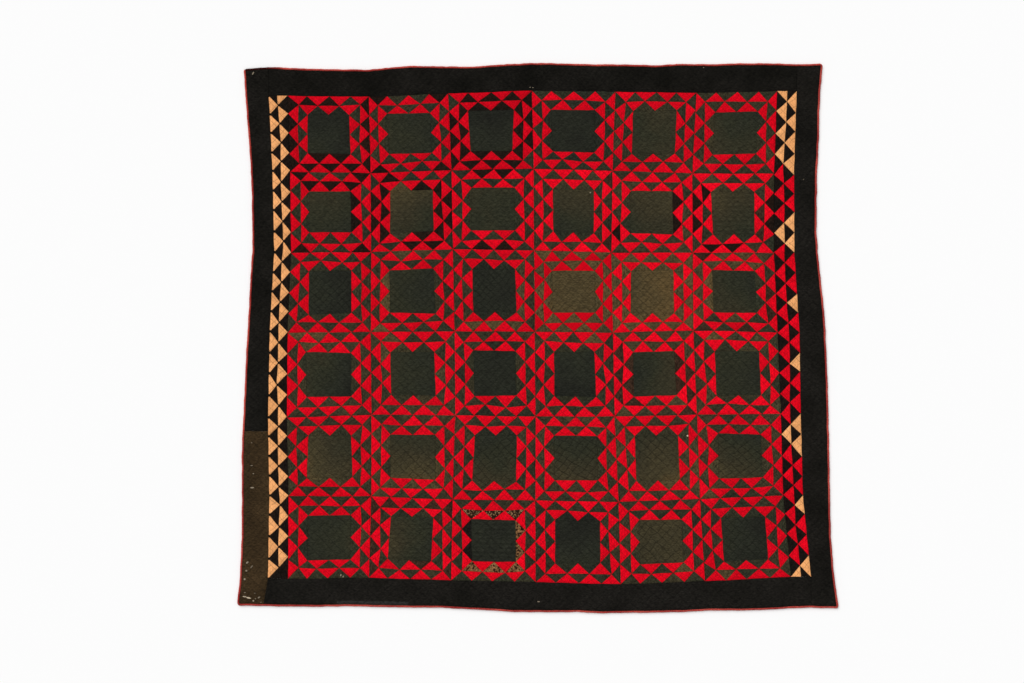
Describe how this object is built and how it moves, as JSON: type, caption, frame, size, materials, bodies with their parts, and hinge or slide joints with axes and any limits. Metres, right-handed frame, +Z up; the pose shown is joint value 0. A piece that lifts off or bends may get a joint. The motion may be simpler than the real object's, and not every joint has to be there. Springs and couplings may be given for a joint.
{
  "type": "pieced quilt",
  "caption": "Bed quilt laid flat: pieced blocks of red and dark triangles round plain centres, strips of triangles down both sides, black borders and a narrow red binding.",
  "frame": {"origin": "middle of the quilt's outline, on the surface that it lies on", "axes": "+Z up out of the pieced face, +X across the quilt, +Y towards its head end"},
  "size_m": [2.065, 1.8878, 0.0058],
  "materials": {
    "pieced_wool": "matte",
    "strip_cotton": "matte",
    "border_cotton": "matte",
    "patch_cotton": "matte",
    "binding_tape": "matte"
  },
  "bodies": {
    "root": {"block_r1c1": "pieced_wool", "block_r1c2": "pieced_wool", "block_r1c3": "pieced_wool", "block_r1c4": "pieced_wool", "block_r1c5": "pieced_wool", "block_r1c6": "pieced_wool", "block_r2c1": "pieced_wool", "block_r2c2": "pieced_wool", "block_r2c3": "pieced_wool", "block_r2c4": "pieced_wool", "block_r2c5": "pieced_wool", "block_r2c6": "pieced_wool", "block_r3c1": "pieced_wool", "block_r3c2": "pieced_wool", "block_r3c3": "pieced_wool", "block_r3c4": "pieced_wool", "block_r3c5": "pieced_wool", "block_r3c6": "pieced_wool", "block_r4c1": "pieced_wool", "block_r4c2": "pieced_wool", "block_r4c3": "pieced_wool", "block_r4c4": "pieced_wool", "block_r4c5": "pieced_wool", "block_r4c6": "pieced_wool", "block_r5c1": "pieced_wool", "block_r5c2": "pieced_wool", "block_r5c3": "pieced_wool", "block_r5c4": "pieced_wool", "block_r5c5": "pieced_wool", "block_r5c6": "pieced_wool", "block_r6c1": "pieced_wool", "block_r6c2": "pieced_wool", "block_r6c3": "pieced_wool", "block_r6c4": "pieced_wool", "block_r6c5": "pieced_wool", "block_r6c6": "pieced_wool", "strip_left": "strip_cotton", "strip_right": "strip_cotton", "border_top": "border_cotton", "border_bottom": "border_cotton", "border_right": "border_cotton", "border_left": "border_cotton", "border_left_patch": "patch_cotton", "binding_top": "binding_tape", "binding_bottom": "binding_tape", "binding_left": "binding_tape", "binding_right": "binding_tape"}
  },
  "joints": []
}
